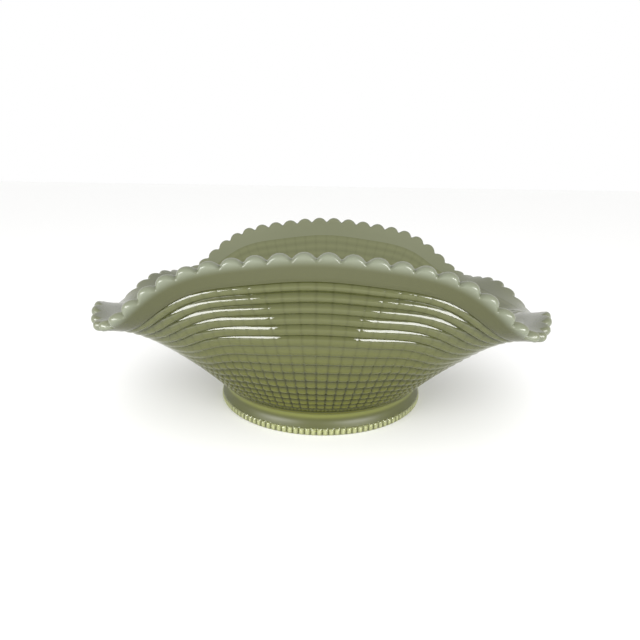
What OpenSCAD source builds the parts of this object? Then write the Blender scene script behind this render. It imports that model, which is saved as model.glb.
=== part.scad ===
// Pressed uranium glass dish: a round foot, a bowl whose two long sides are drawn up and whose
// two ends are drawn out into a wavy lip, a plain milky band and a scalloped edge.
// X is the long way of the dish, Z is up, and the foot stands on Z = 0 with its axis on Z.

/* [Foot] */
// Radius of the foot over the tops of its beads
foot_r = 52; // [40:0.5:65]
// Height of the beaded ring that the dish stands on
bead_ring_h = 3.4; // [2.4:0.1:5]
// Number of beads round the foot
bead_count = 120; // [60:2:160]
// How far each bead stands out from the ring
bead_depth = 0.8; // [0.3:0.1:1.5]
// Width of the ring under the foot, from its inside to the root of the beads
foot_wall = 4.4; // [3.6:0.1:8]
// Depth of the hollow under the foot
recess_h = 5.6; // [5:0.1:8]
// Height at which the foot ends and the bowl wall starts
foot_h = 10; // [9.6:0.1:16]
// How far the waist of the foot is drawn in
waist_depth = 1.1; // [0:0.1:2.5]
// Slope of the bowl wall where it leaves the foot, in degrees
wall_start_slope = 42; // [30:1:60]

/* [Glass] */
// Thickness of the bowl wall
glass = 4; // [3:0.1:6]
// Thickness of the floor of the bowl
floor_glass = 3.6; // [3:0.1:6]

/* [Rim] */
// Half the length of the rim, end to end
rim_half_length = 107.2; // [85:0.1:140]
// Half the width of the rim, over the two raised sides
rim_half_width = 72.5; // [60:0.1:95]
// How much the long sides are flattened
side_flat = 14.6; // [0:0.1:18]
// How much the four corners are drawn out
corner_pull = 1.5; // [0:0.1:3]
// Mean height of the rim
rim_h = 62.6; // [50:0.1:90]
// Rise of the two sides above the mean, and fall of the ends below it
side_rise = 21.2; // [5:0.1:30]
// Extra height at the middle of the sides and at the ends
side_peak = 2.5; // [0:0.1:5]
// Rounding of the sides between their middles and the ends
side_round = 1.7; // [0:0.1:4]
// Dip of the rim at the middles of the sides and of the ends and at the four corners
corner_dip = 1.5; // [0:0.1:3]
// Small wave that lifts the middles of the sides and lowers those of the ends
end_wave = 1.4; // [0:0.1:3]
// How much higher the front side is than the mean, and the back side lower
front_lift = 0.8; // [-2:0.1:2]
// How much of that lift is taken off the middles of the sides
front_round = 0.5; // [-2:0.1:2]
// Height of the ruffle at each end
ruffle_h = 4.1; // [0:0.1:12]
// Tilt of the lip on the raised sides, in degrees
side_tilt = 85; // [50:1:88]
// Tilt of the lip at the ends, in degrees, where below 0 it droops
end_tilt = -17; // [-45:0.5:40]
// Extra tilt of the lip on a crest of the ruffle, in degrees
ruffle_tilt = 43; // [0:1:50]
// Extra tilt of the lip at the four corners, in degrees
corner_tilt = -8; // [-20:1:20]

/* [Edge] */
// Number of scallops round the rim
scallop_count = 72; // [36:4:96]
// Height of a scallop, from the notch to its tip
scallop_h = 2.8; // [1:0.1:5]
// Height of the plain band under the notches
band_h = 7.2; // [6:0.1:18]

/* [Hidden] */
// Columns of the curved shells: two to a scallop on the wall, four on the scalloped edge
wall_columns = 2 * scallop_count;
edge_columns = 4 * scallop_count;
wall_rows = 5;
band_rows = 3;
// Share of the wall's curve that the lower wall takes
lower_share = 0.48;
// Waves of the ruffle in a full turn, and the angle from the end at which it has died out
ruffle_waves = 9;
ruffle_reach = 65;
// Where the two handles of the wall's curve lie, as shares of its chord
start_pull = 0.115;
lip_pull = 0.32;
// Share of a scallop's height that is left in the notch, and at a quarter of its width
notch_share = 0.12;
shoulder_share = 0.8;
// Points across one bead, and steps round the foot's waist
bead_steps = 4;
waist_steps = 12;
// Smallest step used to find the slope of the wall
slope_step = 0.01;

ring_out_r = foot_r - bead_depth;
ring_in_r = ring_out_r - foot_wall;
join_r = foot_r - 1.5;
join_in_r = join_r - glass / sin(wall_start_slope);
floor_top = recess_h + floor_glass;
// A bowl floor blends up to the wall over this width
floor_blend = 4;

module glass_body() { color([0.55, 0.58, 0.33]) children(); }
module glass_foot() { color([0.48, 0.50, 0.24]) children(); }
module glass_opal() { color([0.62, 0.66, 0.55]) children(); }

// The rim. The angle a runs once round from the middle of the front side.
function ruffle(a) =
    let (from_end = asin(cos(a)))
    abs(from_end) >= ruffle_reach ? 0
        : -pow(cos(90 * from_end / ruffle_reach), 2) * cos(ruffle_waves * from_end);
function rim_x(a) = rim_half_length * sin(a);
function rim_y(a) =
    -(rim_half_width * cos(a) + side_flat * (cos(a) - cos(3 * a)) - corner_pull * (cos(a) - cos(7 * a)));
function rim_z(a) =
    rim_h + side_rise * cos(2 * a) + side_peak * cos(4 * a) - side_round * cos(6 * a)
    - corner_dip * cos(8 * a) + end_wave * cos(10 * a)
    + front_lift * cos(a) - front_round * cos(3 * a) + ruffle_h * ruffle(a);
function lip_tilt(a) =
    (side_tilt + end_tilt) / 2 + (side_tilt - end_tilt) / 2 * cos(2 * a)
    + corner_tilt * (1 - cos(4 * a)) / 2 + ruffle_tilt * ruffle(a);

// The outside of the wall: one cubic curve at each angle, from the foot (t = 0) to a scallop tip (t = 1)
function unit(v) = v / norm(v);
function wall_start(a) = [join_r * sin(a), -join_r * cos(a), foot_h];
function wall_end(a) = [rim_x(a), rim_y(a), rim_z(a)];
function start_handle(a, chord) =
    chord * start_pull * [sin(a) * cos(wall_start_slope), -cos(a) * cos(wall_start_slope), sin(wall_start_slope)];
function lip_handle(a, chord, out) =
    chord * lip_pull * [out[0] * cos(lip_tilt(a)), out[1] * cos(lip_tilt(a)), sin(lip_tilt(a))];
function outer(a, t) =
    let (
        p0 = wall_start(a),
        p3 = wall_end(a),
        chord = norm(p3 - p0),
        out = unit([p3[0] - p0[0], p3[1] - p0[1]]),
        p1 = p0 + start_handle(a, chord),
        p2 = p3 - lip_handle(a, chord, out),
        s = 1 - t
    )
    s * s * s * p0 + 3 * s * s * t * p1 + 3 * s * t * t * p2 + t * t * t * p3;

// The inside of the wall lies one glass thickness in, square to the outside
function inward(a, t) =
    unit(cross(
        outer(a, t + slope_step) - outer(a, t - slope_step),
        outer(a + slope_step, t) - outer(a - slope_step, t)
    ));
function inner(a, t) =
    t == 0 ? [join_in_r * sin(a), -join_in_r * cos(a), foot_h] : outer(a, t) + glass * inward(a, t);

// Shares of the wall's curve taken by the scallops and by the band, from the slope of its end
function share(height, a) = height / (3 * lip_pull * norm(wall_end(a) - wall_start(a)));
function notch_t(a) = 1 - share(scallop_h, a);
function band_t(a) = notch_t(a) - share(band_h, a);

// One cross-section of a shell: up the outside and back down the inside. The faces that close
// it at the top and at the bottom are cut along the same diagonal, so that two shells fit.
function section(a, t0, t1, rows) = concat(
    [for (j = [0 : rows]) outer(a, t0 + (t1 - t0) * j / rows)],
    [for (j = [rows : -1 : 0]) inner(a, t0 + (t1 - t0) * j / rows)]
);
function ring_faces(columns, loop) = [
    for (i = [0 : columns - 1], k = [0 : loop - 1])
        let (
            next_i = (i + 1) % columns,
            here = [i * loop + k, i * loop + (k + 1) % loop],
            next = [next_i * loop + k, next_i * loop + (k + 1) % loop]
        )
        each k == loop - 1
            ? [[here[0], here[1], next[0]], [here[1], next[1], next[0]]]
            : [[here[0], here[1], next[1]], [here[0], next[1], next[0]]]
];
module ring_shell(sections) {
    loop = len(sections[0]);
    polyhedron(points = [for (s = sections) each s], faces = ring_faces(len(sections), loop));
}
function edge_top(a) =
    let (phase = abs(((a * scallop_count / 360) % 1) * 2 - 1))
    phase > 0.9 ? notch_share : phase > 0.1 ? shoulder_share : 1;

// Foot
module foot_bead_ring() {
    steps = bead_count * bead_steps;
    glass_foot()
        linear_extrude(height = bead_ring_h)
            difference() {
                polygon([
                    for (i = [0 : steps - 1])
                        let (
                            turn = 360 * i / steps,
                            r = ring_out_r + bead_depth * abs(sin(bead_count * turn / 2))
                        )
                        r * [cos(turn), sin(turn)]
                ]);
                circle(r = ring_in_r, $fn = 96);
            }
}

module foot_collar() {
    rise = foot_h - bead_ring_h;
    glass_foot()
        rotate_extrude($fn = 96)
            polygon(concat(
                [for (i = [0 : waist_steps])
                    let (up = i / waist_steps)
                    [
                        ring_out_r + (join_r - ring_out_r) * up - waist_depth * sin(180 * up),
                        bead_ring_h + rise * up
                    ]],
                [[join_in_r, foot_h], [join_in_r, recess_h], [ring_in_r, bead_ring_h]]
            ));
}

module bowl_floor() {
    glass_body()
        rotate_extrude($fn = 96)
            polygon([
                [0, recess_h],
                [join_in_r, recess_h],
                [join_in_r, foot_h],
                [join_in_r - floor_blend / 2, floor_top + (foot_h - floor_top) / 4],
                [join_in_r - floor_blend, floor_top],
                [0, floor_top]
            ]);
}

// Bowl
module lower_wall() {
    glass_body()
        ring_shell([
            for (i = [0 : wall_columns - 1])
                let (a = 360 * i / wall_columns)
                section(a, 0, lower_share * band_t(a), wall_rows)
        ]);
}

module upper_wall() {
    glass_body()
        ring_shell([
            for (i = [0 : wall_columns - 1])
                let (a = 360 * i / wall_columns)
                section(a, lower_share * band_t(a), band_t(a), wall_rows)
        ]);
}

module rim_band() {
    glass_opal()
        ring_shell([
            for (i = [0 : wall_columns - 1])
                let (a = 360 * i / wall_columns)
                section(a, band_t(a), notch_t(a), band_rows)
        ]);
}

module rim_scallops() {
    glass_opal()
        ring_shell([
            for (i = [0 : edge_columns - 1])
                let (
                    a = 360 * i / edge_columns,
                    low = notch_t(a)
                )
                section(a, low, low + (1 - low) * edge_top(a), 1)
        ]);
}

foot_bead_ring();
foot_collar();
bowl_floor();
lower_wall();
upper_wall();
rim_band();
rim_scallops();
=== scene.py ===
"""Pressed uranium glass dish: the visual model, its finishes and a plain studio.

The dish is one pressing: a beaded round foot, a bowl whose wall carries rings crossed by upright
ribs, and a plain milky band with a scalloped edge. Its two long sides are drawn up and its two ends
drawn out into a wavy lip. Sizes are in millimetres until a mesh is written, and X is the long way.
"""

import logging
import math
from dataclasses import dataclass
from enum import Enum

import bpy
import numpy as np
from mathutils import Matrix, Vector


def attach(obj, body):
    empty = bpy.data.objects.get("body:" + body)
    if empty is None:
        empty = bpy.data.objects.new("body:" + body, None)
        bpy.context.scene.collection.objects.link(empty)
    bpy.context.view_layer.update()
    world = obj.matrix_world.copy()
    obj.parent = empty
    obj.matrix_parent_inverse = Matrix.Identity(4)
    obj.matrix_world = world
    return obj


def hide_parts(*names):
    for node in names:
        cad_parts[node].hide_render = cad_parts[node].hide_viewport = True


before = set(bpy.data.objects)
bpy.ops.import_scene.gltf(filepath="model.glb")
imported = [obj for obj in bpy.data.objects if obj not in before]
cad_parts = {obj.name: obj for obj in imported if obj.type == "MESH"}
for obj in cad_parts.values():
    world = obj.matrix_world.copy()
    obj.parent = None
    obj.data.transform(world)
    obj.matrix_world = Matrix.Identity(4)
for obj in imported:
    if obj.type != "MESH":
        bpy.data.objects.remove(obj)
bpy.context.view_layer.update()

MM = 0.001
JOINT_SLOT = 1
SEAM_GAP = 1e-7  # points of a closed seam lie exactly on each other
CREASE = math.radians(55)  # sharper edges than this stay sharp when a piece is shaded smooth

# Sockets of a Mix node set to colour: its two colour inputs and its colour output.
MIX_A, MIX_B, MIX_RESULT = 6, 7, 2
log = logging.getLogger("uranium_glass_dish")


def ease(x: np.ndarray, start: float, span: float) -> np.ndarray:
    """Eases from 0 to 1 as x goes from start to start plus span."""
    x = np.clip((x - start) / span, 0.0, 1.0)
    return x * x * (3.0 - 2.0 * x)


def unit(v: np.ndarray) -> np.ndarray:
    """Scales vectors on the last axis to a length of 1."""
    return v / np.linalg.norm(v, axis=-1, keepdims=True)


def polar(angle: np.ndarray, radius: np.ndarray, height: np.ndarray) -> np.ndarray:
    """Points on a round part of the dish.

    Args:
        angle: Angle from the middle of the front side, in radians.
        radius: Distance from the axis of the foot.
        height: Height above the table.

    Returns:
        An array with x, y and z on its last axis.
    """
    angle, radius, height = np.broadcast_arrays(angle, radius, height)
    return np.stack([radius * np.sin(angle), -radius * np.cos(angle), height], axis=-1)


@dataclass(frozen=True)
class DishShape:
    """The smooth outside of the dish, as the press and the maker's tools left it, in mm."""

    foot_r: float = 52.0
    bead_ring_h: float = 3.4
    bead_count: int = 120
    bead_depth: float = 0.8
    foot_wall: float = 4.4
    recess_h: float = 5.6
    foot_h: float = 10.0
    waist_depth: float = 1.1
    wall_start_slope: float = math.radians(42.0)
    glass: float = 4.0
    floor_glass: float = 3.6
    rim_half_length: float = 107.2
    rim_half_width: float = 72.5
    side_flat: float = 14.6
    corner_pull: float = 1.5
    rim_h: float = 62.6
    side_rise: float = 21.2
    side_peak: float = 2.5
    side_round: float = 1.7
    corner_dip: float = 1.5
    end_wave: float = 1.4
    front_lift: float = 0.8
    front_round: float = 0.5
    ruffle_h: float = 4.1
    ruffle_waves: int = 9
    ruffle_reach: float = math.radians(65.0)
    side_tilt: float = math.radians(85.0)
    end_tilt: float = math.radians(-17.0)
    ruffle_tilt: float = math.radians(43.0)
    corner_tilt: float = math.radians(-8.0)
    start_pull: float = 0.115
    lip_pull: float = 0.32
    scallop_count: int = 72
    scallop_h: float = 2.8
    band_h: float = 7.2

    @property
    def ring_out_r(self) -> float:
        """Radius of the foot at the root of its beads."""
        return self.foot_r - self.bead_depth

    @property
    def ring_in_r(self) -> float:
        """Radius of the hollow under the foot."""
        return self.ring_out_r - self.foot_wall

    @property
    def join_r(self) -> float:
        """Radius at which the bowl wall leaves the foot."""
        return self.foot_r - 1.5

    @property
    def join_in_r(self) -> float:
        """Radius at which the inside of the wall meets the floor of the bowl."""
        return self.join_r - self.glass / math.sin(self.wall_start_slope)

    @property
    def floor_top(self) -> float:
        """Height of the floor of the bowl."""
        return self.recess_h + self.floor_glass

    def ruffle(self, a: np.ndarray) -> np.ndarray:
        """The wave that the maker's tool pressed into each end, from -1 to 1."""
        from_end = np.arcsin(np.clip(np.cos(a), -1.0, 1.0))
        window = np.cos(0.5 * math.pi * np.clip(from_end / self.ruffle_reach, -1.0, 1.0)) ** 2
        return -window * np.cos(self.ruffle_waves * from_end)

    def rim(self, a: np.ndarray) -> np.ndarray:
        """Points on the line of the scallop tips at angles a."""
        x = self.rim_half_length * np.sin(a)
        y = -(
            self.rim_half_width * np.cos(a)
            + self.side_flat * (np.cos(a) - np.cos(3 * a))
            - self.corner_pull * (np.cos(a) - np.cos(7 * a))
        )
        z = (
            self.rim_h
            + self.side_rise * np.cos(2 * a)
            + self.side_peak * np.cos(4 * a)
            - self.side_round * np.cos(6 * a)
            - self.corner_dip * np.cos(8 * a)
            + self.end_wave * np.cos(10 * a)
            + self.front_lift * np.cos(a)
            - self.front_round * np.cos(3 * a)
            + self.ruffle_h * self.ruffle(a)
        )
        return np.stack([x, y, z], axis=-1)

    def outer(self, a: np.ndarray, t: np.ndarray) -> np.ndarray:
        """The outside of the bowl.

        Args:
            a: Angle round the dish from the middle of the front side, in radians.
            t: Place up the wall, from 0 at the foot to 1 at a scallop tip.

        Returns:
            Points in mm with x, y and z on the last axis.
        """
        a, t = np.broadcast_arrays(np.asarray(a, float), np.asarray(t, float))
        start = polar(a, self.join_r, self.foot_h)
        end = self.rim(a)
        chord = np.linalg.norm(end - start, axis=-1, keepdims=True)
        out = unit((end - start)[..., :2])
        lift = np.full_like(chord, math.sin(self.wall_start_slope))
        foot_out = unit(start[..., :2]) * math.cos(self.wall_start_slope)
        tilt = (
            (self.side_tilt + self.end_tilt) / 2
            + (self.side_tilt - self.end_tilt) / 2 * np.cos(2 * a)
            + self.corner_tilt * (1.0 - np.cos(4 * a)) / 2
            + self.ruffle_tilt * self.ruffle(a)
        )[..., None]
        leave = start + chord * self.start_pull * np.concatenate([foot_out, lift], axis=-1)
        arrive = end - chord * self.lip_pull * np.concatenate([out * np.cos(tilt), np.sin(tilt)], axis=-1)
        t = t[..., None]
        s = 1.0 - t
        return s**3 * start + 3 * s * s * t * leave + 3 * s * t * t * arrive + t**3 * end

    def inward(self, a: np.ndarray, t: np.ndarray) -> np.ndarray:
        """Unit vectors from the outside of the wall straight into the glass."""
        step = 1e-4
        up = self.outer(a, t + step) - self.outer(a, t - step)
        along = self.outer(a + step, t) - self.outer(a - step, t)
        return unit(np.cross(up, along))

    def share(self, height: float, a: np.ndarray) -> np.ndarray:
        """How much of t a stretch of the lip of this height takes at angle a."""
        chord = np.linalg.norm(self.rim(a) - polar(a, self.join_r, self.foot_h), axis=-1)
        return height / (3 * self.lip_pull * chord)

    def notch_t(self, a: np.ndarray) -> np.ndarray:
        """Place up the wall of the notches between scallops."""
        return 1.0 - self.share(self.scallop_h, a)

    def band_t(self, a: np.ndarray) -> np.ndarray:
        """Place up the wall where the relief ends and the plain band starts."""
        return self.notch_t(a) - self.share(self.band_h, a)


@dataclass(frozen=True)
class Relief:
    """The pattern cut in the mould: convex rings, crossed by upright grooves, over a row of beads.

    Places up the wall are levels, from 0 at the foot to 1 at the plain band. A pair of numbers with
    "fade" in its name is the level at which a change starts, and how much further up it is complete.
    """

    ring_count: int = 15
    low_ring_depth: float = 0.62
    ring_depth: float = 1.1
    ring_fade: tuple[float, float] = (0.65, 0.09)
    top_depth: float = 0.3
    top_fade: tuple[float, float] = (0.8, 0.12)
    ring_sharpness: float = 1.7

    rib_count: int = 96
    groove_depth: float = 0.4
    groove_share: float = 0.28
    crown_depth: float = 0.10
    rib_loss: float = 0.95
    rib_fade: tuple[float, float] = (0.3, 0.38)

    heel_share: float = 0.126
    heel_turn: float = 1 / 3
    bead_count: int = 192
    bead_depth: float = 0.45
    bead_place: float = 0.72
    bead_reach: float = 0.2
    bead_roundness: float = 0.7

    # Painted shade in the hollows of the pattern: its cap, how much of it fades higher up, and faint
    # painted lines along the rib grooves.
    shade_limit: float = 1.6
    shade_loss: float = 0.72
    shade_fade: tuple[float, float] = (0.35, 0.45)
    rib_shade: float = 0.22
    rib_shade_fade: tuple[float, float] = (0.3, 0.3)

    ring_steps: tuple[float, ...] = (0.0, 0.03, 0.08, 0.16, 0.3, 0.5, 0.68, 0.77, 0.85, 0.91, 0.96)
    inner_steps: tuple[float, ...] = (0.0, 0.25, 0.5, 0.75)
    rib_steps: tuple[float, ...] = (0.0, 0.035, 0.08, 0.2, 0.5, 0.8, 0.92, 0.965)

    def columns(self) -> np.ndarray:
        """Angles of the mesh columns, closer together in the grooves between ribs."""
        turn = 2 * math.pi / self.rib_count
        return np.array([(i + s) * turn for i in range(self.rib_count) for s in self.rib_steps])

    def rows(self, first: int, last: int, steps: tuple[float, ...]) -> np.ndarray:
        """Levels of the mesh rows from one ring to another.

        Args:
            first: Number of the first ring, from 0 at the heel.
            last: Number of the ring to stop before.
            steps: Shares of a ring at which a row of points lies.

        Returns:
            Levels from the bottom of the first ring to the top of the last one.
        """
        span = (1.0 - self.heel_share) / self.ring_count
        places = [self.heel_share + (k + s) * span for k in range(first, last) for s in steps]
        return np.array([*places, self.heel_share + last * span])

    def heel_rows(self, count: int) -> np.ndarray:
        """Levels of this many rows up the smooth heel and its beads, below the first ring."""
        return np.linspace(0.0, self.heel_share, count + 1)[:-1]

    def beside_rib(self, a: np.ndarray) -> np.ndarray:
        """How far angles lie from the middle of their rib, from 0 to 1 at the groove's bottom."""
        rib = a * self.rib_count / (2 * math.pi)
        return np.abs(2.0 * (rib - np.floor(rib)) - 1.0)

    def groove(self, a: np.ndarray) -> np.ndarray:
        """The shape of the upright grooves, 0 on a rib and 1 along the groove's bottom."""
        return ease(self.beside_rib(a), 1.0 - self.groove_share, self.groove_share)

    def rings(self, level: np.ndarray) -> tuple[np.ndarray, np.ndarray]:
        """Depth of the rings alone, and how far a level lies from the crest of its ring."""
        ring = (level - self.heel_share) / (1.0 - self.heel_share) * self.ring_count
        across = np.abs(2.0 * (ring - np.floor(ring)) - 1.0)
        gain = (self.ring_depth - self.low_ring_depth) * ease(level, *self.ring_fade)
        deepest = self.low_ring_depth + gain + self.top_depth * ease(level, *self.top_fade)
        return deepest * across**self.ring_sharpness, across

    def heel(self, a: np.ndarray, level: np.ndarray) -> np.ndarray:
        """Depth of the heel: smooth at the foot, then set back, with a row of beads standing in it."""
        height = (level / self.heel_share - self.bead_place) / self.bead_reach
        turn = np.abs(np.sin(a * self.bead_count / 2))
        bead = np.sqrt(np.clip(1.0 - height**2, 0.0, 1.0)) * turn**self.bead_roundness
        set_back = ease(level / self.heel_share, 0.0, self.heel_turn)
        return (self.low_ring_depth - self.bead_depth * bead) * set_back

    def depth(self, a: np.ndarray, level: np.ndarray) -> np.ndarray:
        """How far the mould's pattern lies below the smooth outside.

        Args:
            a: Angle round the dish, in radians.
            level: Place up the wall.

        Returns:
            Depth in mm, 0 on the crests.
        """
        a, level = np.broadcast_arrays(a, level)
        rings, across = self.rings(level)
        strength = 1.0 - self.rib_loss * ease(level, *self.rib_fade)
        ribs = self.groove_depth * self.groove(a) + self.crown_depth * self.beside_rib(a) ** 2
        pattern = rings + strength * ribs * (1.0 - 0.5 * across**4)
        return np.where(level < self.heel_share, self.heel(a, level), pattern)

    def shade(self, a: np.ndarray, level: np.ndarray) -> np.ndarray:
        """Painted shade: how much darker in colour the glass is made than on its crests.

        It follows the pattern, darkest in the hollows where shade falls, and is weaker where the glass is
        milky. High up, where the grooves are shallow, the ribs still show as faint lines of painted
        shade.

        Args:
            a: Angle round the dish, in radians.
            level: Place up the wall.

        Returns:
            Shares of a full low groove, 0 on the crests.
        """
        a, level = np.broadcast_arrays(a, level)
        kept = 1.0 - self.shade_loss * ease(level, *self.shade_fade)
        through = self.rib_shade * self.groove(a) * ease(level, *self.rib_shade_fade)
        return kept * np.clip(self.depth(a, level) / self.low_ring_depth, 0.0, self.shade_limit) + through


class GlassKind(Enum):
    """The kinds of the one glass in the part's record; each value is the name of its slot."""

    FOOT = "foot_glass"
    BOWL = "bowl_glass"
    OPAL = "opal_glass"


class Zone(Enum):
    """The zones of the dish that have a finish of their own."""

    BEADS = "clear_bead_glass"
    WAIST = "satin_foot_glass"
    WALL = "pressed_uranium_glass"
    RIM = "opalescent_rim_glass"


def srgb(hex_colour: str) -> tuple[float, float, float, float]:
    """Turns an sRGB hex colour such as "8a8c50" into linear red, green, blue and alpha."""
    parts = [int(hex_colour[i : i + 2], 16) / 255 for i in (0, 2, 4)]
    linear = [p / 12.92 if p <= 0.04045 else ((p + 0.055) / 1.055) ** 2.4 for p in parts]
    return (*linear, 1.0)


def add_node(
    tree: bpy.types.NodeTree,
    kind: str,
    settings: dict[str, object] | None = None,
    links: dict[str | int, bpy.types.NodeSocket] | None = None,
) -> bpy.types.Node:
    """Adds one node to a material or world.

    Args:
        tree: The node tree to add to.
        kind: The node's type name.
        settings: Values by name: a node property, or else an input socket's value.
        links: Output sockets to link, by input name or number.

    Returns:
        The new node.
    """
    node = tree.nodes.new(kind)
    for name, value in (settings or {}).items():
        if isinstance(name, str) and hasattr(node, name):
            setattr(node, name, value)
        else:
            node.inputs[name].default_value = value
    for name, socket in (links or {}).items():
        tree.links.new(socket, node.inputs[name])
    return node


@dataclass(frozen=True)
class GlassFinish:
    """Uranium glass in one of its looks, fire polished and slightly milky.

    The body colour goes from low_hex to high_hex between two places up the wall (low_rise and
    high_rise): the heat-sensitive glass is yellow-green low down and turns milky where it was reheated.
    The inside has a colour of its own, though it is the same glass: painted light. Grooves go towards
    painted_groove_shade_hex, by groove_share of the way, as painted shade in the hollows between two
    crests.
    """

    zone: Zone
    low_hex: str
    high_hex: str
    inside_painted_light_hex: str
    painted_groove_shade_hex: str
    groove_share: float
    low_rise: float
    high_rise: float
    transmission: float
    roughness: float
    ior: float = 1.52

    def material(self) -> bpy.types.Material:
        """Builds the node material for this look."""
        material = bpy.data.materials.new(self.zone.value)
        material.use_nodes = True
        tree = material.node_tree
        tree.nodes.clear()
        rise, relief_and_painted_shade, inside = (
            add_node(tree, "ShaderNodeAttribute", {"attribute_name": name})
            for name in ("rise", "relief_and_painted_shade", "inside")
        )
        ramp = add_node(
            tree,
            "ShaderNodeMapRange",
            {"From Min": self.low_rise, "From Max": self.high_rise, "interpolation_type": "SMOOTHSTEP"},
            {"Value": rise.outputs["Fac"]},
        )
        body = add_node(tree, "ShaderNodeMix", {"data_type": "RGBA"}, {"Factor": ramp.outputs["Result"]})
        body.inputs[MIX_A].default_value = srgb(self.low_hex)
        body.inputs[MIX_B].default_value = srgb(self.high_hex)
        # Painted light: the inside takes a colour of its own.
        milky = add_node(
            tree,
            "ShaderNodeMix",
            {"data_type": "RGBA"},
            {"Factor": inside.outputs["Fac"], MIX_A: body.outputs[MIX_RESULT]},
        )
        milky.inputs[MIX_B].default_value = srgb(self.inside_painted_light_hex)
        # Painted shade: the hollows of the pattern go towards the dark groove colour.
        groove = add_node(tree, "ShaderNodeMath", {"operation": "MULTIPLY"}, {0: relief_and_painted_shade.outputs["Fac"]})
        groove.inputs[1].default_value = self.groove_share
        colour = add_node(
            tree,
            "ShaderNodeMix",
            {"data_type": "RGBA"},
            {"Factor": groove.outputs["Value"], MIX_A: milky.outputs[MIX_RESULT]},
        )
        colour.inputs[MIX_B].default_value = srgb(self.painted_groove_shade_hex)
        shader = add_node(
            tree,
            "ShaderNodeBsdfPrincipled",
            {
                "Roughness": self.roughness,
                "IOR": self.ior,
                "Transmission Weight": self.transmission,
            },
            {"Base Color": colour.outputs[MIX_RESULT]},
        )
        add_node(tree, "ShaderNodeOutputMaterial", {}, {"Surface": shader.outputs["BSDF"]})
        return material


def joint_material() -> bpy.types.Material:
    """The unseen faces where two zones of the one glass meet: nothing bends or shows there."""
    material = bpy.data.materials.new("glass_to_glass")
    material.use_nodes = True
    tree = material.node_tree
    tree.nodes.clear()
    clear = add_node(tree, "ShaderNodeBsdfTransparent", {"Color": (1.0, 1.0, 1.0, 1.0)})
    add_node(tree, "ShaderNodeOutputMaterial", {}, {"Surface": clear.outputs["BSDF"]})
    return material


def deselect_all() -> None:
    """Leaves nothing selected, so that an operator acts on one piece only."""
    for obj in bpy.context.selected_objects:
        obj.select_set(False)


def add_floats(mesh: bpy.types.Mesh, name: str, values: np.ndarray) -> None:
    """Stores one number for each vertex of a mesh under a name that materials can read."""
    layer = mesh.attributes.new(name, "FLOAT", "POINT")
    layer.data.foreach_set("value", np.ascontiguousarray(values, dtype=np.float32).ravel())


def wrap_ring(
    name: str,
    sections: np.ndarray,
    attributes: dict[str, np.ndarray],
    joint_steps: list[int],
    materials: list[bpy.types.Material],
) -> bpy.types.Object:
    """Makes a closed ring of glass by wrapping a grid round the dish and closing its seams.

    Args:
        name: Name of the piece.
        sections: Points in mm, one row of section points for each column round the dish. Each section
            runs up the outside, over the top and down the inside.
        attributes: Numbers to store for each point, in the same layout.
        joint_steps: Steps of the section whose faces meet another zone of the glass.
        materials: The piece's glass, then the material of its joint faces.

    Returns:
        The finished object, at the origin with its place in its mesh.
    """
    columns, loop = sections.shape[:2]
    deselect_all()
    bpy.ops.mesh.primitive_grid_add(x_subdivisions=loop, y_subdivisions=columns, size=0.1)
    piece = bpy.context.active_object
    piece.name = name
    mesh = piece.data
    mesh.name = name
    mesh.vertices.foreach_set("co", (close_seams(sections) * MM).astype(np.float32).ravel())
    for key, values in attributes.items():
        add_floats(mesh, key, close_seams(values))
    for material in materials:
        mesh.materials.append(material)
    steps = np.arange(len(mesh.polygons)) % loop
    slots = np.where(np.isin(steps, joint_steps), JOINT_SLOT, 0)
    mesh.polygons.foreach_set("material_index", slots.astype(np.int32))
    mesh.update()
    bpy.ops.object.mode_set(mode="EDIT")
    bpy.ops.mesh.select_all(action="SELECT")
    bpy.ops.mesh.remove_doubles(threshold=SEAM_GAP)
    bpy.ops.mesh.normals_make_consistent(inside=False)
    bpy.ops.object.mode_set(mode="OBJECT")
    bpy.ops.object.shade_smooth_by_angle(angle=CREASE)
    log.info("%s: %d faces", name, len(mesh.polygons))
    return piece


def close_seams(values: np.ndarray) -> np.ndarray:
    """Repeats the first column after the last one and the first step after the last one."""
    wrapped = np.concatenate([values, values[:1]], axis=0)
    return np.concatenate([wrapped, wrapped[:, :1]], axis=1)


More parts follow.
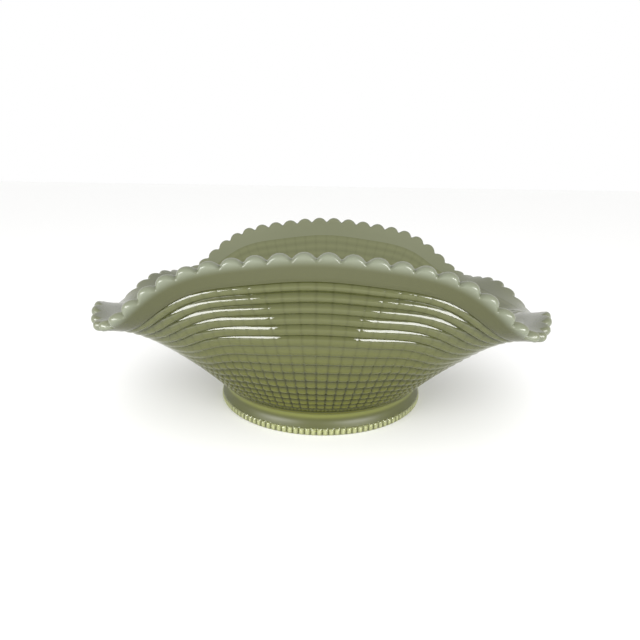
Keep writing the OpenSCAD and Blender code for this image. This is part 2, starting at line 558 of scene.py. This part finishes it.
@dataclass
class BeadedFoot:
    """The round foot: its beads, its waist and the floor of the bowl over it.

    The bead outline gives heights in mm and how far a bead stands out there, as a share of its depth.
    The floor blend gives distances in from the wall in mm and how much of the rise to the wall is left.
    """

    shape: DishShape
    bead_glass: bpy.types.Material
    waist_glass: bpy.types.Material
    floor_glass: bpy.types.Material
    joint: bpy.types.Material
    bead_columns: int = 8
    bead_roundness: float = 0.8
    edge_step: float = 0.32
    chamfer: float = 0.2
    chamfer_h: float = 1.2
    bead_outline: tuple[tuple[float, float], ...] = (
        (0.0, 0.3),
        (0.25, 0.72),
        (0.7, 0.92),
        (1.2, 1.0),
        (1.8, 1.0),
        (2.3, 0.92),
        (2.8, 0.7),
        (3.15, 0.35),
    )
    waist_columns: int = 288
    waist_rows: int = 16
    waist_rise: float = 0.02
    floor_steps: int = 192
    floor_rings: tuple[float, ...] = (0.6, 0.2)
    floor_blend: tuple[tuple[float, float], ...] = ((0.0, 1.0), (1.0, 0.42), (2.2, 0.14), (4.0, 0.0))

    def beads(self) -> bpy.types.Object:
        """The ring of upright beads that the dish stands on."""
        s = self.shape
        columns = s.bead_count * self.bead_columns
        a = np.arange(columns)[:, None] * 2 * math.pi / columns
        outline = [(0.0, 0.0), *self.bead_outline, (s.bead_ring_h, 0.0)]
        height, swell = (np.array(side)[None, :] for side in zip(*outline))
        bead = np.abs(np.sin(a * s.bead_count / 2)) ** self.bead_roundness
        radius = s.ring_out_r + s.bead_depth * swell * bead
        radius[:, 0] -= self.edge_step
        outside = polar(a, radius, height)
        inside_r = np.array([s.ring_in_r, s.ring_in_r, s.ring_in_r + self.chamfer])[None, :]
        inside = polar(a, inside_r, np.array([s.bead_ring_h, self.chamfer_h, 0.0])[None, :])
        sections = np.concatenate([outside, inside], axis=1)
        # Painted shade in the gaps between beads, none on a bead's front.
        relief_and_painted_shade = np.concatenate([np.clip(1.0 - bead * swell, 0, 1), np.zeros((columns, 3))], axis=1)
        return wrap_ring(
            "foot_beads",
            sections,
            {"rise": np.zeros_like(relief_and_painted_shade), "relief_and_painted_shade": relief_and_painted_shade},
            [height.shape[1] - 1],
            [self.bead_glass, self.joint],
        )

    def waist(self) -> bpy.types.Object:
        """The drawn-in band between the beads and the bowl, with painted shade in its hollow that leaves
        its shoulder lighter.
        """
        s = self.shape
        a = np.arange(self.waist_columns)[:, None] * 2 * math.pi / self.waist_columns
        up = np.linspace(0.0, 1.0, self.waist_rows + 1)[None, :]
        radius = s.ring_out_r + (s.join_r - s.ring_out_r) * up - s.waist_depth * np.sin(math.pi * up)
        outside = polar(a, radius, s.bead_ring_h + (s.foot_h - s.bead_ring_h) * up)
        inside_r = np.array([s.join_in_r, s.join_in_r, s.ring_in_r])[None, :]
        inside = polar(a, inside_r, np.array([s.foot_h, s.recess_h, s.bead_ring_h])[None, :])
        sections = np.concatenate([outside, inside], axis=1)
        rows = up.shape[1]
        flat = np.zeros(sections.shape[:2])
        # Painted shade: darker low in the hollow and where the waist meets the bowl, lighter on the
        # shoulder between.
        hollow = 1.0 - ease(up, 0.5, 0.3) + ease(up, 0.9, 0.1)
        return wrap_ring(
            "foot_waist",
            sections,
            {"rise": flat + self.waist_rise, "relief_and_painted_shade": flat + np.pad(hollow, ((0, 0), (0, 3)))},
            [rows - 1, rows, rows + 2],
            [self.waist_glass, self.joint],
        )

    def floor(self) -> bpy.types.Object:
        """The floor of the bowl, turned from its half section."""
        s = self.shape
        rings = [s.join_in_r * share for share in self.floor_rings]
        top = [
            (s.join_in_r - inwards, s.floor_top + left * (s.foot_h - s.floor_top))
            for inwards, left in self.floor_blend
        ]
        top += [(r, s.floor_top) for r in (*rings, 0.0)]
        under = [(r, s.recess_h) for r in (0.0, *reversed(rings), s.join_in_r)]
        line = [(r * MM, 0.0, z * MM) for r, z in (*under, *top)]
        deselect_all()
        bpy.ops.mesh.primitive_plane_add(size=1, location=(0, 0, 0))
        piece = bpy.context.active_object
        piece.name = piece.data.name = "bowl_floor_disc"
        mesh = piece.data
        mesh.clear_geometry()
        mesh.from_pydata(line, [(i, i + 1) for i in range(len(line) - 1)], [])
        bpy.ops.object.mode_set(mode="EDIT")
        bpy.ops.mesh.select_all(action="SELECT")
        bpy.ops.mesh.spin(steps=self.floor_steps, angle=2 * math.pi, center=(0, 0, 0), axis=(0, 0, 1))
        bpy.ops.mesh.select_all(action="SELECT")
        bpy.ops.mesh.remove_doubles(threshold=1e-6)
        bpy.ops.mesh.normals_make_consistent(inside=False)
        bpy.ops.object.mode_set(mode="OBJECT")
        for material in (self.floor_glass, self.joint):
            mesh.materials.append(material)
        for poly in mesh.polygons:
            meets_wall = abs(poly.normal.z) < 0.05
            poly.material_index = JOINT_SLOT if meets_wall else 0
        count = len(mesh.vertices)
        add_floats(mesh, "rise", np.full(count, self.waist_rise))
        add_floats(mesh, "relief_and_painted_shade", np.zeros(count))
        add_floats(mesh, "inside", np.ones(count))
        bpy.ops.object.shade_smooth_by_angle(angle=CREASE)
        log.info("%s: %d faces", piece.name, len(mesh.polygons))
        return piece


@dataclass
class PressedWall:
    """The patterned wall of the bowl, in a lower and an upper zone."""

    shape: DishShape
    relief_and_painted_shade: Relief
    glass: bpy.types.Material
    joint: bpy.types.Material
    split_ring: int = 7
    heel_steps: int = 14
    inner_heel_steps: int = 3
    seen_through_painted_shade: float = 0.45

    def zone(self, name: str, levels: np.ndarray, back: np.ndarray) -> bpy.types.Object:
        """Makes one zone of the wall.

        Args:
            name: Name of the piece.
            levels: Rows on the patterned outside, as shares of the wall, from the bottom up.
            back: Rows on the smooth inside, from the bottom up.

        Returns:
            The finished object.
        """
        s = self.shape
        a = self.relief_and_painted_shade.columns()[:, None]
        top = s.band_t(a[:, 0])[:, None]
        t = levels[None, :] * top
        depth = self.relief_and_painted_shade.depth(a, levels[None, :])
        outside = s.outer(a, t) + depth[..., None] * s.inward(a, t)
        down = back[None, ::-1]
        tb = down * top
        inside = s.outer(a, tb) + s.glass * s.inward(a, tb)
        # Painted shade: the outside's hollows are darkened, and the inside takes a weaker copy of that
        # shade, as if seen through the glass.
        painted_shades = [self.relief_and_painted_shade.shade(a, levels[None, :]), self.seen_through_painted_shade * self.relief_and_painted_shade.shade(a, down)]
        parts, places = [outside, inside], [t, tb]
        sides = [np.zeros_like(t), np.ones_like(tb)]
        if levels[0] == 0.0:
            parts.append(polar(a, s.join_in_r, s.foot_h))
            painted_shades.append(np.zeros_like(a))
            places.append(np.zeros_like(a))
            sides.append(np.ones_like(a))
        sections = np.concatenate(parts, axis=1)
        loop = sections.shape[1]
        return wrap_ring(
            name,
            sections,
            {
                "rise": np.concatenate(places, axis=1),
                "relief_and_painted_shade": np.concatenate(painted_shades, axis=1),
                "inside": np.concatenate(sides, axis=1),
            },
            [len(levels) - 1, loop - 1],
            [self.glass, self.joint],
        )

    def build(self) -> list[bpy.types.Object]:
        """Makes the lower and the upper zone."""
        r, split, last = self.relief_and_painted_shade, self.split_ring, self.relief_and_painted_shade.ring_count
        fine = np.concatenate([r.heel_rows(self.heel_steps), r.rows(0, split, r.ring_steps)])
        plain = np.concatenate([r.heel_rows(self.inner_heel_steps), r.rows(0, split, r.inner_steps)])
        lower = self.zone("wall_lower_courses", fine, plain)
        upper = self.zone(
            "wall_upper_courses",
            r.rows(split, last, r.ring_steps),
            r.rows(split, last, r.inner_steps[::2]),
        )
        return [lower, upper]


@dataclass
class ScallopedRim:
    """The plain milky band and the rounded scallops of the edge.

    The scallops lap down a little below their notches, so that the flame-softened edge is one piece.
    """

    shape: DishShape
    glass: bpy.types.Material
    joint: bpy.types.Material
    band_columns: int = 576
    band_rows: int = 10
    band_sink: float = 0.35
    band_sink_share: float = 0.2
    scallop_columns: int = 12
    lap: float = 1.2
    lap_rows: int = 4
    round_h: float = 1.5
    round_steps: int = 10
    notch_share: float = 0.12
    bump_reach: float = 0.9
    bump_roundness: float = 0.75

    def band(self) -> bpy.types.Object:
        """The plain band, smooth outside and in."""
        s = self.shape
        a = np.arange(self.band_columns)[:, None] * 2 * math.pi / self.band_columns
        low = s.band_t(a)
        high = s.notch_t(a) - s.share(self.lap, a)
        up = np.linspace(0.0, 1.0, self.band_rows + 1)[None, :]
        t = low + (high - low) * up
        sink = self.band_sink * (1.0 - ease(up, 0.0, self.band_sink_share))
        outside = s.outer(a, t) + sink[..., None] * s.inward(a, t)
        tb = t[:, ::-1]
        inside = s.outer(a, tb) + s.glass * s.inward(a, tb)
        sections = np.concatenate([outside, inside], axis=1)
        rows = t.shape[1]
        return wrap_ring(
            "milky_band",
            sections,
            {
                "rise": np.concatenate([t, tb], axis=1),
                "relief_and_painted_shade": np.zeros(sections.shape[:2]),
                "inside": np.concatenate([np.zeros_like(t), np.ones_like(tb)], axis=1),
            },
            [rows - 1, 2 * rows - 1],
            [self.glass, self.joint],
        )

    def scallops(self) -> bpy.types.Object:
        """The scalloped edge, rounded over where the flame softened it."""
        s = self.shape
        columns = s.scallop_count * self.scallop_columns
        a = np.arange(columns)[:, None] * 2 * math.pi / columns
        place = (np.arange(columns)[:, None] / self.scallop_columns) % 1.0
        from_tip = np.abs(2.0 * place - 1.0)
        arch = np.clip(1.0 - (from_tip / self.bump_reach) ** 2, 0.0, 1.0) ** self.bump_roundness
        bump = self.notch_share + (1.0 - self.notch_share) * arch
        low = s.notch_t(a) - s.share(self.lap, a)
        high = s.notch_t(a) + (1.0 - s.notch_t(a)) * bump
        rounding = s.share(self.round_h, a)
        shoulder = np.maximum(high - rounding, low + 0.25 * (high - low))
        up = np.linspace(0.0, 1.0, self.lap_rows + 1)[None, :]
        outside_t = low + (shoulder - low) * up
        turn = np.linspace(0.0, math.pi, self.round_steps + 1)[None, 1:-1]
        over_t = shoulder + (high - shoulder) * np.sin(turn)
        over_depth = s.glass * 0.5 * (1.0 - np.cos(turn))
        inside_t = outside_t[:, ::-1]
        t = np.concatenate([outside_t, over_t, inside_t], axis=1)
        over_depth = np.broadcast_to(over_depth, over_t.shape)
        depth = np.concatenate(
            [np.zeros_like(outside_t), over_depth, np.full_like(inside_t, s.glass)], axis=1
        )
        sections = s.outer(a, t) + depth[..., None] * s.inward(a, np.minimum(t, 1.0))
        loop = sections.shape[1]
        return wrap_ring(
            "scalloped_edge",
            sections,
            {"rise": t, "relief_and_painted_shade": np.zeros_like(t), "inside": depth / s.glass},
            [loop - 1],
            [self.glass, self.joint],
        )


@dataclass(frozen=True)
class Studio:
    """A pale floor, an even room and two soft boxes in front of the dish. Sizes are in mm."""

    floor_hex: str = "fbfbfa"
    floor_roughness: float = 0.9
    floor_size: float = 6000.0
    room_strength: float = 1.0
    light_distance: float = 600.0
    light_aim_h: float = 50.0
    box_size: tuple[float, float] = (400.0, 150.0)
    box_height: float = 10.0
    box_power: float = 2.9
    lens: float = 29.38
    sensor: float = 36.0
    stand_off: float = 260.0
    eye_h: float = 114.9
    side_step: float = -0.86
    pitch: float = math.radians(16.37)
    roll: float = math.radians(0.84)
    turn: float = math.radians(2.0)

    def room(self) -> None:
        """Fills the room with even light."""
        world = bpy.data.worlds.new("room")
        world.use_nodes = True
        tree = world.node_tree
        tree.nodes.clear()
        light = add_node(
            tree, "ShaderNodeBackground", {"Color": (1.0, 1.0, 1.0, 1.0), "Strength": self.room_strength}
        )
        add_node(tree, "ShaderNodeOutputWorld", {}, {"Surface": light.outputs["Background"]})
        bpy.context.scene.world = world

    def floor(self) -> None:
        """Lays a plain pale floor under the foot."""
        deselect_all()
        bpy.ops.mesh.primitive_plane_add(size=self.floor_size * MM, location=(0, 0, 0))
        floor = bpy.context.active_object
        floor.name = "studio_floor"
        material = bpy.data.materials.new("matt_white_paper")
        material.use_nodes = True
        shader = material.node_tree.nodes["Principled BSDF"]
        shader.inputs["Base Color"].default_value = srgb(self.floor_hex)
        shader.inputs["Roughness"].default_value = self.floor_roughness
        floor.data.materials.append(material)

    def soft_box(self, name: str, bearing: float) -> None:
        """Hangs one soft box that faces the dish, low enough to draw a streak along each ring.

        Args:
            name: Name of the light.
            bearing: Degrees to the right of straight in front of the dish.
        """
        east, up = math.radians(bearing), math.radians(self.box_height)
        aim = Vector((math.sin(east) * math.cos(up), -math.cos(east) * math.cos(up), math.sin(up)))
        data = bpy.data.lights.new(name, "AREA")
        data.shape = "RECTANGLE"
        data.size, data.size_y = (side * MM for side in self.box_size)
        data.energy = self.box_power
        light = bpy.data.objects.new(name, data)
        light.location = (Vector((0.0, 0.0, self.light_aim_h)) + aim * self.light_distance) * MM
        light.rotation_euler = (-aim).to_track_quat("-Z", "Y").to_euler()
        bpy.context.scene.collection.objects.link(light)

    def camera(self) -> None:
        """Stands the camera close in front of the dish, looking a little down on it."""
        up = Vector((0.0, math.sin(self.pitch), math.cos(self.pitch)))
        right = Vector((1.0, 0.0, 0.0))
        ahead = Vector((0.0, math.cos(self.pitch), -math.sin(self.pitch)))
        rolled_right = right * math.cos(self.roll) + up * math.sin(self.roll)
        rolled_up = up * math.cos(self.roll) - right * math.sin(self.roll)
        axes = Matrix((rolled_right, rolled_up, -ahead)).transposed()
        spin = Matrix.Rotation(self.turn, 3, "Z")
        place = spin @ Vector((self.side_step, -self.stand_off, self.eye_h)) * MM
        data = bpy.data.cameras.new("camera")
        data.lens = self.lens
        data.sensor_width = self.sensor
        data.clip_start = 0.005
        camera = bpy.data.objects.new("camera", data)
        camera.matrix_world = Matrix.Translation(place) @ (spin @ axes).to_4x4()
        bpy.context.scene.collection.objects.link(camera)
        bpy.context.scene.camera = camera


FINISHES = (
    # Pressed beads of clearer glass: their pale colour is partly that clearer glass and partly a painted
    # highlight for their glints, and their gaps get painted shade.
    GlassFinish(
        zone=Zone.BEADS,
        low_hex="dfe4a8",
        high_hex="dfe4a8",
        inside_painted_light_hex="dfe4a8",
        painted_groove_shade_hex="565920",
        groove_share=0.9,
        low_rise=0.0,
        high_rise=0.1,
        transmission=0.6,
        roughness=0.06,
    ),
    # The plain waist, a little dull from the mould: a soft sheen, and painted shade in its hollow.
    GlassFinish(
        zone=Zone.WAIST,
        low_hex="74783a",
        high_hex="74783a",
        inside_painted_light_hex="74783a",
        painted_groove_shade_hex="43461a",
        groove_share=0.85,
        low_rise=0.0,
        high_rise=0.1,
        transmission=0.25,
        roughness=0.42,
    ),
    # The fire-polished wall: sharp streaks of light on its rings, dark olive painted shade in its
    # grooves, and a greyer inside that is painted light.
    GlassFinish(
        zone=Zone.WALL,
        low_hex="57590e",
        high_hex="575a34",
        inside_painted_light_hex="696c4a",
        painted_groove_shade_hex="262902",
        groove_share=0.85,
        low_rise=0.1,
        high_rise=0.8,
        transmission=0.2,
        roughness=0.05,
    ),
    # The reheated rim: opal, palest at the scallops' tips, with a soft gloss; its inside colour is
    # painted light.
    GlassFinish(
        zone=Zone.RIM,
        low_hex="474929",
        high_hex="737866",
        inside_painted_light_hex="696c52",
        painted_groove_shade_hex="5c5f38",
        groove_share=0.3,
        low_rise=0.93,
        high_rise=0.985,
        transmission=0.15,
        roughness=0.24,
    ),
)


def place(piece: bpy.types.Object, node: str, kind: GlassKind) -> None:
    """Hands a finished piece to the frame in place of its CAD node."""
    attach(piece, "root")
    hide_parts(node)
    log.info("%s stands for %s", piece.name, node)


def main() -> None:
    """Builds the dish and the studio."""
    logging.basicConfig(level=logging.INFO, format="%(message)s")
    shape, relief_and_painted_shade = DishShape(), Relief()
    glass = {finish.zone: finish.material() for finish in FINISHES}
    joint = joint_material()
    foot = BeadedFoot(shape, glass[Zone.BEADS], glass[Zone.WAIST], glass[Zone.WALL], joint)
    wall = PressedWall(shape, relief_and_painted_shade, glass[Zone.WALL], joint)
    rim = ScallopedRim(shape, glass[Zone.RIM], joint)
    place(foot.beads(), "foot_bead_ring", GlassKind.FOOT)
    place(foot.waist(), "foot_collar", GlassKind.FOOT)
    place(foot.floor(), "bowl_floor", GlassKind.BOWL)
    for piece, node in zip(wall.build(), ("lower_wall", "upper_wall")):
        place(piece, node, GlassKind.BOWL)
    place(rim.band(), "rim_band", GlassKind.OPAL)
    place(rim.scallops(), "rim_scallops", GlassKind.OPAL)
    studio = Studio()
    studio.room()
    studio.floor()
    studio.soft_box("left_soft_box", -43)
    studio.soft_box("right_soft_box", 40)
    studio.camera()
    bpy.context.scene.view_settings.view_transform = "Standard"


if __name__ == "__main__":
    main()
